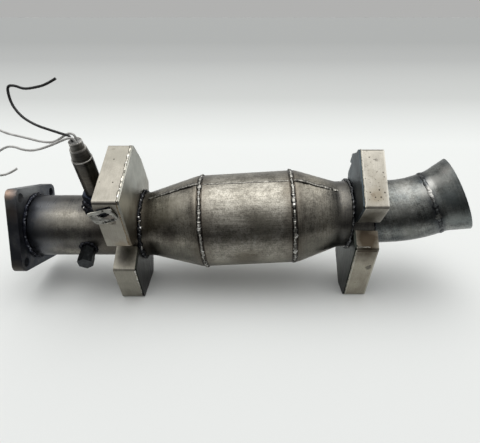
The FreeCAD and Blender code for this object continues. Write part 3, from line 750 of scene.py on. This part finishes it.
outlet_turn = (0, -26.1, -7.2)
outlet_rotation = rotation_of(outlet_turn)
outlet_knee = 0.2765
outlet_run = 0.0195
flare_joint = body_place @ Vector((outlet_knee, 0, 0)) + outlet_rotation @ Vector((outlet_run, 0, 0))
outlet_place = Matrix.Translation(flare_joint) @ outlet_rotation.to_4x4()
outlet_steel = heated_steel(
    "outlet_steel", light=(0.310, 0.318, 0.302), middle=(0.200, 0.210, 0.206), dark=(0.088, 0.100, 0.104),
    place=tuple(flare_joint), turn=outlet_turn, stain=0.85,
    bands=[
        (0.0, 0.0028, 0.0030, (0.060, 0.066, 0.072), 0.75),
        (0.026, 0.001, 0.0070, (0.20, 0.225, 0.228), 0.7),
        (-0.072, 0.008, 0.016, (0.060, 0.068, 0.078), 0.8),
    ],
    marks=[
        # The first four marks and the seventh are painted highlights on the top of the pipe and flare; the
        # others lighten patches on its near side.
        ((0.0060, -0.0150, 0.0285), 0.0070, (0.48, 0.475, 0.455), 0.70),
        ((0.0150, -0.0180, 0.0280), 0.0080, (0.34, 0.345, 0.33), 0.6),
        ((-0.0030, -0.0200, 0.0240), 0.0070, (0.44, 0.435, 0.41), 0.45),
        ((-0.0190, -0.0120, 0.0275), 0.0110, (0.36, 0.355, 0.335), 0.35),
        ((0.0140, -0.0290, 0.0130), 0.0100, (0.230, 0.262, 0.268), 0.75),
        ((0.0120, -0.0320, -0.0060), 0.0080, (0.230, 0.250, 0.240), 0.7),
        ((0.0200, -0.0110, 0.0325), 0.0060, (0.42, 0.41, 0.39), 0.5),
        ((-0.0290, -0.0260, 0.0130), 0.0110, (0.260, 0.265, 0.250), 0.5),
        ((-0.0270, -0.0290, -0.0070), 0.0090, (0.240, 0.245, 0.225), 0.5),
    ],
)
for node in ("outlet_pipe", "outlet_flare"):
    finished(node, outlet_steel)
flush_weld = weld_steel("flush_weld", core=(0.085, 0.090, 0.092), toe=(0.035, 0.038, 0.042), marks=[
    # A painted highlight on the weld's upper third, and a paler patch low on its near side.
    (tuple(outlet_place @ Vector((0.0002, -0.0214, 0.0217))), 0.0070, (0.50, 0.49, 0.465), 0.8),
    (tuple(outlet_place @ Vector((0.0, -0.0300, 0.0000))), 0.0032, (0.22, 0.22, 0.205), 0.6),
])
flare_ring = ring_stations(outlet_place, 0.0, pipe_radius - 0.0001)
flare_bead = weld_bead("flare_bead", flare_ring, 0.0042, 0.0004, flush_weld, seed=31.0, lump=0.8)
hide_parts("outlet_flare_weld")


# Inlet brackets
# Each is a 2 mm side plate with a 20 mm sheet strip folded round its edge and welded
# along the corner. The strips are satin rolled sheet, the plates brushed and sooted, and
# the lower plate is painted nearly black as shade.

def strip_steel(name, light, dark, marks=(), pitting=0.26, shaded_folds=(), rim_highlights=()):
    """Satin rolled sheet with pits, painted shade along each fold and painted highlights on its rims.

    A shaded fold is (y, z, radius, colour, share) and a rim highlight is the x of an edge, in metres.
    """
    finish, tree, shader = new_finish(name)
    where = coordinates(tree)
    clouds = mottle(tree, where, 0.014, detail=5.0)
    grain = mottle(tree, where, 0.0006, detail=3.0)
    rolling = mottle(tree, where, 0.0007, detail=2.0, stretch=(1, 16, 16))
    pits = mottle(tree, where, 0.0020, detail=3.0, roughness=0.6)
    colour = shades(tree, clouds, [(0.34, dark), (0.62, light)])
    for level, low, high in (
        (rolling, (0.86, 0.86, 0.86), (1.10, 1.10, 1.10)),
        (grain, (0.78, 0.77, 0.76), (1.10, 1.10, 1.09)),
    ):
        colour = grained(tree, colour, level, 0.5, [(0.32, low), (0.62, high)])
    pitted = spread_to(tree, pits, 0.9, 0.0, pitting, pitting + 0.05)
    colour = laid_over(tree, pitted, colour, (0.06, 0.048, 0.038))
    section = tree.nodes.new("ShaderNodeMapping")
    section.inputs["Scale"].default_value = (0.0, 1.0, 1.0)
    tree.links.new(where, section.inputs["Vector"])
    # Painted shade along each fold.
    for y, z, radius, tone, share in shaded_folds:
        crease_shade = spot(tree, section.outputs["Vector"], (0.0, y, z), radius, ragged=0.05)
        colour = tinted(tree, colour, crease_shade, share, tone)
    # Painted highlights along the strip's rims.
    for x in rim_highlights:
        rim_highlight = near(tree, along_axis(tree, where, "X"), x, 0.0005, 0.0004)
        colour = tinted(tree, colour, rim_highlight, 0.5, (0.68, 0.66, 0.60))
    colour = blots(tree, where, colour, marks)
    roughness = spread_to(tree, clouds, 0.38, 0.52)
    surfaced(tree, shader, colour, roughness, maths(tree, "ADD", grain, rolling), 0.00010, 0.4)
    return finish


def plate_steel(name, light, dark, soot, soot_top):
    """Side plate brushed upright and sooted below a height."""
    finish, tree, shader = new_finish(name)
    where = coordinates(tree)
    clouds = mottle(tree, where, 0.016, detail=5.0)
    brushing = mottle(tree, where, 0.0008, detail=2.0, stretch=(1, 1, 24))
    soot_fade = 0.040
    colour = shades(tree, clouds, [(0.32, dark), (0.66, light)])
    colour = grained(tree, colour, brushing, 0.7, [(0.30, (0.74, 0.74, 0.74)), (0.70, (1.22, 1.21, 1.20))])
    height = maths(tree, "ADD", along_axis(tree, where, "Z"), spread_to(tree, clouds, -0.012, 0.012))
    sooty = spread_to(tree, height, 0.9, 0.0, soot_top - soot_fade, soot_top)
    colour = laid_over(tree, sooty, colour, soot)
    surfaced(tree, shader, colour, spread_to(tree, brushing, 0.32, 0.50), brushing, 0.0001, 0.35)
    return finish


def pit_marks(pits):
    """Small rust pits of (x, y, z, radius, share), as marks for a strip."""
    return [((x, y, z), radius, (0.030, 0.024, 0.020), share) for x, y, z, radius, share in pits]


# Painted shade for the gaps along the upper strip's fold and under the torn clip.
painted_gap_shade = (0.030, 0.027, 0.024)
upper_sheet = strip_steel(
    "upper_sheet", (0.425, 0.402, 0.352), (0.312, 0.294, 0.256),
    marks=[
        ((0.1090, -0.0220, 0.0790), 0.0110, (0.290, 0.278, 0.238), 0.6),
        *pit_marks([
            (0.1039, -0.0274, 0.0778, 0.00080, 1.0),
            (0.1084, -0.0532, 0.0667, 0.00070, 1.0),
            (0.0975, -0.0529, 0.0668, 0.00065, 0.8),
        ]),
        ((0.1010, -0.0150, 0.0825), 0.0018, (0.26, 0.245, 0.21), 0.7),
        ((0.1100, -0.0565, 0.0080), 0.0060, (0.33, 0.27, 0.19), 0.6),
        # Painted shadow on the face under the torn clip's lower edge.
        ((0.1064, -0.0659, 0.0361), 0.0024, painted_gap_shade, 0.9),
        ((0.1038, -0.0659, 0.0361), 0.0020, painted_gap_shade, 0.9),
    ],
    # Painted shade in the gap along the fold.
    pitting=0.22, shaded_folds=[(-0.0743, 0.0563, 0.0016, painted_gap_shade, 1.0)],
)
lower_sheet = strip_steel(
    "lower_sheet", (0.33, 0.315, 0.27), (0.24, 0.228, 0.195),
    marks=[((0.1040, -0.0400, -0.0110), 0.0100, (0.085, 0.080, 0.072), 0.8)],
    # Painted shade along the fold.
    pitting=0.22, shaded_folds=[(-0.0528, -0.0212, 0.0008, (0.110, 0.104, 0.090), 0.7)],
)
upper_plate = plate_steel(
    "upper_plate", (0.40, 0.40, 0.36), (0.26, 0.262, 0.232),
    soot=(0.165, 0.135, 0.096), soot_top=0.050,
)
# Painted shade: the lower plate is a nearly black copy of the plate steel, darker still towards the
# bottom.
lower_plate = plate_steel(
    "lower_plate", (0.052, 0.055, 0.048), (0.022, 0.023, 0.020),
    soot=(0.010, 0.010, 0.009), soot_top=-0.010,
)
finished("inlet_upper_strip", upper_sheet)
finished("inlet_lower_strip", lower_sheet)
finished("inlet_upper_plate", upper_plate)
finished("inlet_lower_plate", lower_plate)


def edge_stations(start, end, plane_x, side, spacing=0.0005):
    """Stations along a bracket's folded corner between two (y, z) points, leaning to a side."""
    run = Vector((0, end[0] - start[0], end[1] - start[1]))
    outward = Vector((0, -run.z, run.y)).normalized()
    if outward.y > 0:
        outward = -outward
    up = (outward + Vector((0.35 * side, 0, 0))).normalized()
    across = up.cross(run.normalized())
    foot = Vector((plane_x, *start)) - up * 0.0001
    count = int(run.length / spacing)
    return [(foot + run * index / count, up, across) for index in range(count + 1)]


inlet_corner_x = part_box("inlet_upper_plate")[0][0]
chipped_weld = weld_steel(
    "chipped_weld", core=(0.42, 0.40, 0.35), toe=(0.15, 0.142, 0.122), silver=0.54,
)
rusty_weld = weld_steel("rusty_weld", core=(0.24, 0.19, 0.13), toe=(0.13, 0.105, 0.075))
corner_stations = edge_stations((-0.0110, 0.0848), (-0.0734, 0.0580), inlet_corner_x + 0.0002, 1)
face_stations = edge_stations((-0.0734, 0.0570), (-0.0560, 0.0090), inlet_corner_x - 0.0002, 1)
foot_stations = edge_stations((-0.0525, -0.0205), (-0.0378, -0.0600), inlet_corner_x + 0.0002, 1)
for name, stations, width, height, finish, seed, lump in (
    ("inlet_corner_bead", corner_stations, 0.0022, 0.00050, chipped_weld, 51.0, 0.9),
    ("inlet_face_bead", face_stations, 0.0014, 0.00025, rusty_weld, 53.0, 0.6),
    ("inlet_foot_bead", foot_stations, 0.0014, 0.00025, chipped_weld, 54.0, 0.6),
):
    weld_bead(name, stations, width, height, finish, seed=seed, lump=lump, closed=False)

inlet_face_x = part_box("inlet_upper_plate")[1][0]
outlet_face_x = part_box("outlet_upper_plate")[0][0]
# Its crest colour is painted glints on the ripple tops.
black_lumps = weld_steel(
    "black_lumps", core=(0.030, 0.031, 0.034), toe=(0.008, 0.008, 0.009), silver=0.67,
    crest_glint=(0.22, 0.225, 0.235), rough=(0.38, 0.60),
)
ash_weld = weld_steel("ash_weld", core=(0.11, 0.112, 0.115), toe=(0.022, 0.023, 0.026), silver=0.70)
body_direction = body_place.to_3x3() @ Vector((1, 0, 0))
for name, node, face_x, side, finish, width, seed in (
    ("inlet_plate_bead", "inlet_bracket_weld", inlet_face_x, 1, black_lumps, 0.0044, 41.0),
    ("outlet_plate_bead", "outlet_bracket_weld", outlet_face_x, -1, ash_weld, 0.0028, 43.0),
):
    centre = Vector(knee) + body_direction * ((face_x - knee[0]) / body_direction.x)
    place = Matrix.Translation(centre)
    corner = ring_stations(place, side * 0.0011, neck_radius + fillet_reach, side * fillet_lean, count=320)
    bead = weld_bead(name, corner, width, width * 0.30, finish, seed=seed, lump=0.9)
    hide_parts(node)


def spatter(name, drops, finish):
    """Solidified weld drops of (centre, radius), each a squashed uneven bead."""
    mesh = bpy.data.meshes.new(name)
    build = bmesh.new()
    for index, (centre, radius) in enumerate(drops):
        made = bmesh.ops.create_icosphere(build, subdivisions=3, radius=radius)
        for vertex in made["verts"]:
            seat = vertex.co / radius * 1.3 + Vector((index * 7.1, 0, 0))
            vertex.co *= 1 + 0.35 * noise.noise(seat)
            vertex.co += Vector(centre)
    for face in build.faces:
        face.smooth = True
    build.to_mesh(mesh)
    build.free()
    fixed_piece(name, mesh, finish)


silver_drop = weld_steel("silver_drop", core=(0.62, 0.61, 0.58), toe=(0.3, 0.3, 0.3))
neck_y, neck_z = -0.0005, 0.0013
chance = random.Random(7)
drops = []
for angle in (12, 21, 40, 53, 58, 66, 83, 104, 118, 205, 260, 310):
    clock = math.radians(angle + chance.uniform(-3, 3))
    reach = neck_radius + chance.uniform(0.0018, 0.0030)
    x = inlet_face_x + 0.0014 + chance.uniform(-0.0004, 0.0016)
    radius = chance.uniform(0.0004, 0.0011) + (0.0005 if 50 < angle < 70 else 0.0)
    drops.append(((x, neck_y - math.sin(clock) * reach, neck_z + math.cos(clock) * reach), radius))
spatter("inlet_spatter", drops, silver_drop)


# Torn clip
# A flap of the upper bracket's own face, torn round three sides and bent forward. A
# leaf-shaped hole is ripped through it, and painted shadow lies under its lower edge and along the flap's
# own lower edge.

def torn_sheet(name, outline, hole, thickness, finish):
    """Bent sheet from an outline and a hole, both in metres on the bracket's face."""
    edge_round = 0.0002
    shape = bpy.data.curves.new(name + "_outline", "CURVE")
    shape.dimensions = "2D"
    shape.fill_mode = "BOTH"
    shape.extrude = thickness / 2 - edge_round
    shape.bevel_depth = edge_round
    shape.bevel_resolution = 1
    for ring in (outline, hole):
        spline = shape.splines.new("NURBS")
        spline.points.add(len(ring) - 1)
        for point, (u, v) in zip(spline.points, ring):
            point.co = (u, -v, 0, 1)
        spline.order_u = 3
        spline.resolution_u = 6
        spline.use_cyclic_u = True
    flat = bpy.data.objects.new(name + "_outline", shape)
    mesh = bpy.data.meshes.new_from_object(flat)
    bpy.data.objects.remove(flat)
    bpy.data.curves.remove(shape)
    build = bmesh.new()
    build.from_mesh(mesh)
    bmesh.ops.remove_doubles(build, verts=build.verts, dist=0.00001)
    bmesh.ops.triangulate(build, faces=build.faces)
    bmesh.ops.subdivide_edges(build, edges=build.edges, cuts=3, use_grid_fill=True)
    fold = Vector((0.0954, -0.0738, 0.0579))
    down = Vector((0, 0.3426, -0.9394))
    outward = Vector((0, -0.9394, -0.3426))
    hinge_u = 0.0174
    curl_u = 0.002
    for vertex in build.verts:
        u, v, depth = vertex.co.x, -vertex.co.y, vertex.co.z
        lift = 0.0010 + max(0.0, hinge_u - u) * 0.058 + 14 * max(0.0, curl_u - u) ** 2
        lift += 0.0006 * noise.noise(Vector((u * 220, v * 220, 1.7)))
        vertex.co = fold + Vector((u, 0, 0)) + down * v + outward * (lift + depth)
    bmesh.ops.recalc_face_normals(build, faces=build.faces)
    for face in build.faces:
        face.smooth = True
    build.to_mesh(mesh)
    build.free()
    return fixed_piece(name, mesh, finish)


torn_finish = strip_steel(
    "torn_finish", (0.60, 0.595, 0.555), (0.22, 0.216, 0.198),
    marks=[
        # Painted shadow along the flap's lower edge and by its hole; the last mark is a painted highlight
        # on the curled tip.
        ((0.1089, -0.0686, 0.0401), 0.0018, (0.020, 0.019, 0.018), 0.9),
        ((0.1059, -0.0685, 0.0389), 0.0019, (0.020, 0.019, 0.018), 0.9),
        ((0.1029, -0.0684, 0.0386), 0.0017, (0.030, 0.028, 0.026), 0.9),
        ((0.1085, -0.0712, 0.0480), 0.0010, (0.040, 0.038, 0.035), 0.8),
        ((0.0935, -0.0740, 0.0490), 0.0030, (0.60, 0.58, 0.51), 0.8),
    ],
    pitting=0.36,
)
clip_outline = [
    (-0.0050, 0.0100), (-0.0035, 0.0098), (0.0040, 0.0083), (0.0130, 0.0062), (0.0149, 0.0062),
    (0.0162, 0.0110), (0.0178, 0.0160), (0.0172, 0.0185), (0.0140, 0.0200), (0.0090, 0.0212),
    (0.0030, 0.0226), (-0.0008, 0.0228), (-0.0022, 0.0180), (-0.0038, 0.0130),
]
leaf_hole = [
    (0.0015, 0.0122), (0.0015, 0.0122), (0.0070, 0.0094), (0.0118, 0.0102),
    (0.0170, 0.0172), (0.0170, 0.0172), (0.0112, 0.0182), (0.0058, 0.0166),
]
clip = torn_sheet("torn_clip", clip_outline, leaf_hole, 0.0012, torn_finish)
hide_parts("inlet_window_clip")


# Outlet brackets
# Made like the inlet's, on the far side of the can. The upper strip is pitted with rust and
# has painted shade on its lower face, the lower one is browned above its fold, and both side
# plates are painted dark as shade.

outlet_strip_start, outlet_strip_end = (corner[0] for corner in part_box("outlet_upper_strip"))
# The rims of the outlet strips that get painted highlights.
outlet_rim_highlights = (outlet_strip_start + 0.0003, outlet_strip_end - 0.0005)
outlet_upper_sheet = strip_steel(
    "outlet_upper_sheet", (0.53, 0.503, 0.445), (0.355, 0.335, 0.293),
    marks=[
        ((0.3270, -0.0490, 0.0530), 0.0075, (0.27, 0.232, 0.172), 0.75),
        ((0.3310, -0.0400, 0.0620), 0.0060, (0.30, 0.272, 0.220), 0.5),
        ((0.3245, -0.0350, 0.0680), 0.0050, (0.32, 0.295, 0.245), 0.4),
        ((0.3245, -0.0486, 0.0535), 0.0020, (0.22, 0.18, 0.135), 0.5),
        ((0.3297, -0.0269, 0.0769), 0.0015, (0.22, 0.205, 0.18), 0.7),
        *pit_marks([
            (0.3222, -0.0470, 0.0553, 0.00065, 1.0),
            (0.3262, -0.0500, 0.0520, 0.00065, 1.0),
            (0.3300, -0.0455, 0.0568, 0.00080, 0.9),
            (0.3282, -0.0520, 0.0498, 0.00040, 1.0),
            (0.3345, -0.0470, 0.0550, 0.00080, 0.8),
            (0.3210, -0.0515, 0.0505, 0.00040, 0.9),
            (0.3310, -0.0500, 0.0520, 0.00085, 0.8),
            (0.3290, -0.0265, 0.0773, 0.00040, 0.8),
            (0.3347, -0.0348, 0.0684, 0.00080, 0.7),
            (0.3352, -0.0375, 0.0655, 0.00060, 0.7),
        ]),
        # Painted shade over the strip's lower face.
        ((0.3270, -0.0490, 0.0320), 0.0130, (0.130, 0.115, 0.088), 0.85),
    ],
    # Painted highlights on both rims.
    pitting=0.315, rim_highlights=outlet_rim_highlights,
    # Painted shade along both folds.
    shaded_folds=[
        (-0.0572, 0.0440, 0.0012, (0.040, 0.035, 0.030), 1.0),
        (-0.0205, 0.0838, 0.0009, (0.10, 0.095, 0.085), 0.7),
    ],
)
outlet_lower_sheet = strip_steel(
    "outlet_lower_sheet", (0.42, 0.392, 0.325), (0.31, 0.285, 0.235),
    marks=[
        ((0.3270, -0.0440, 0.0065), 0.0170, (0.066, 0.052, 0.037), 1.0),
        ((0.3176, -0.0484, 0.0037), 0.0009, (0.01, 0.01, 0.01), 1.0),
        ((0.3327, -0.0443, -0.0221), 0.0030, (0.11, 0.10, 0.088), 0.75),
        *pit_marks([(0.3340, -0.0446, -0.0196, 0.0010, 0.8)]),
    ],
    # Painted highlights on both rims and painted shade along the fold.
    pitting=0.28, rim_highlights=outlet_rim_highlights, shaded_folds=[(-0.0500, -0.0010, 0.0010, (0.040, 0.034, 0.028), 0.9)],
)
# Painted shade: the upper plate and its tab are painted dark blue-grey, and the foot plate near black,
# darker still towards the bottom.
outlet_plate_steel = plate_steel(
    "outlet_plate_steel", (0.080, 0.100, 0.112), (0.038, 0.050, 0.060),
    soot=(0.026, 0.030, 0.033), soot_top=0.050,
)
outlet_foot_steel = plate_steel(
    "outlet_foot_steel", (0.050, 0.057, 0.049), (0.026, 0.030, 0.026),
    soot=(0.015, 0.018, 0.015), soot_top=-0.020,
)
finished("outlet_upper_strip", outlet_upper_sheet)
finished("outlet_lower_strip", outlet_lower_sheet)
finished("outlet_upper_plate", outlet_plate_steel)
finished("outlet_upper_tab", outlet_plate_steel)
finished("outlet_lower_plate", outlet_foot_steel)

fold_start = Vector((outlet_strip_start + 0.0013, -0.0496, 0.0030))
fold_step = Vector((0.0004, 0, 0))
fold_outward = Vector((0, -0.95, 0.31))
fold_across = Vector((0, 0.31, 0.95))
fold_stations = [(fold_start + fold_step * index, fold_outward, fold_across) for index in range(28)]
weld_bead(
    "outlet_fold_bead", fold_stations, 0.0013, 0.00045, chipped_weld, seed=57.0, lump=0.5, closed=False,
)
edge_weld = weld_steel("edge_weld", core=(0.34, 0.325, 0.275), toe=(0.22, 0.21, 0.178))
for name, start, end, seed in (
    ("outlet_corner_bead", (-0.0200, 0.0846), (-0.0567, 0.0455), 58.0),
    ("outlet_side_bead", (-0.0505, 0.0005), (-0.0345, -0.0600), 59.0),
):
    stations = edge_stations(start, end, outlet_strip_start - 0.0003, -1)
    weld_bead(name, stations, 0.0009, 0.00012, edge_weld, seed=seed, lump=0.3, closed=False)


# Floor and daylight
# A pale matt floor greyed with distance by painted shade, under a bright overhead sky,
# with the room dark towards the viewer and the near floor painted dark in reflections.

floor_level = cad_box[0][2]
floor_reach = 40.0
floor_mesh = bpy.data.meshes.new("floor")
floor_corners = [
    (side_x * floor_reach, side_y * floor_reach, floor_level)
    for side_x, side_y in ((-1, -1), (1, -1), (1, 1), (-1, 1))
]
floor_mesh.from_pydata(floor_corners, [], [(0, 1, 2, 3)])
floor = bpy.data.objects.new("floor", floor_mesh)
bpy.context.scene.collection.objects.link(floor)

paper, tree, shader = new_finish("floor_paper", metallic=0.0)
shader.inputs["Roughness"].default_value = 0.9
shader.inputs["Specular IOR Level"].default_value = 0.15
where = coordinates(tree)
away = spread_to(tree, along_axis(tree, where, "Y"), 0.0, 1.0, -1.0, 5.0)
# Painted shade: the floor greys with distance.
colour = shades(tree, away, [
    (0.12, (0.75, 0.765, 0.765)), (0.18, (0.80, 0.815, 0.81)), (0.25, (0.82, 0.84, 0.835)),
    (0.34, (0.59, 0.605, 0.60)), (0.55, (0.445, 0.455, 0.455)), (0.85, (0.39, 0.40, 0.40)),
])
patches = mottle(tree, where, 0.25)
colour = grained(tree, colour, patches, 0.06, [(0.3, (0.9, 0.9, 0.9)), (0.7, (1.0, 1.0, 1.0))])
path = tree.nodes.new("ShaderNodeLightPath")
# Painted dark reflection: in reflections and bounced light, the floor in front is nearly black.
front = spread_to(tree, along_axis(tree, where, "Y"), 1.0, 0.0, -0.19, -0.07)
unseen = maths(tree, "SUBTRACT", 1.0, path.outputs["Is Camera Ray"])
colour = tinted(tree, colour, unseen, front, (0.05, 0.05, 0.05))
tree.links.new(colour, shader.inputs["Base Color"])
dress(floor, paper)

world = bpy.data.worlds.new("daylight")
bpy.context.scene.world = world
world.use_nodes = True
tree = world.node_tree
background = tree.nodes["Background"]
background.inputs["Color"].default_value = (1.0, 1.0, 0.985, 1.0)
source = tree.nodes.new("ShaderNodeTexCoord")
height = along_axis(tree, source.outputs["Generated"], "Z")
depth = along_axis(tree, source.outputs["Generated"], "Y")
zenith = maths(tree, "POWER", spread_to(tree, height, 0.0, 1.0, 0.62, 1.0), 1.6)
overhead = maths(tree, "MULTIPLY", zenith, 2.5)
front = spread_to(tree, depth, 0.80, 0.0, -0.62, -0.02)
front = maths(tree, "MULTIPLY", front, spread_to(tree, height, 1.0, 0.0, 0.06, 0.66))
level = maths(tree, "MULTIPLY", maths(tree, "SUBTRACT", 1.0, front), 0.60)
sideways = maths(tree, "ABSOLUTE", along_axis(tree, source.outputs["Generated"], "X"))
level = maths(tree, "MULTIPLY", level, spread_to(tree, sideways, 1.0, 0.4, 0.25, 0.85))
level = maths(tree, "ADD", level, overhead)
path = tree.nodes.new("ShaderNodeLightPath")
level = laid_over(tree, path.outputs["Is Camera Ray"], level, (0.44, 0.44, 0.44))
tree.links.new(level, background.inputs["Strength"])


# Camera
# At the photograph's own place, 0.4 m away and looking down 28 degrees along +Y.

image_width = 480
focal_pixels = 404.2
camera_data = bpy.data.cameras.new("camera")
camera_data.sensor_width = 36.0
camera_data.lens = focal_pixels / image_width * camera_data.sensor_width
camera_data.shift_y = 0.016
camera_data.clip_start = 0.01
camera = bpy.data.objects.new("camera", camera_data)
camera.location = (0.2123, -0.3625, 0.1878)
camera.rotation_euler = (math.radians(62.0), 0, 0)
bpy.context.scene.collection.objects.link(camera)
bpy.context.scene.camera = camera
bpy.context.scene.view_settings.view_transform = "Standard"
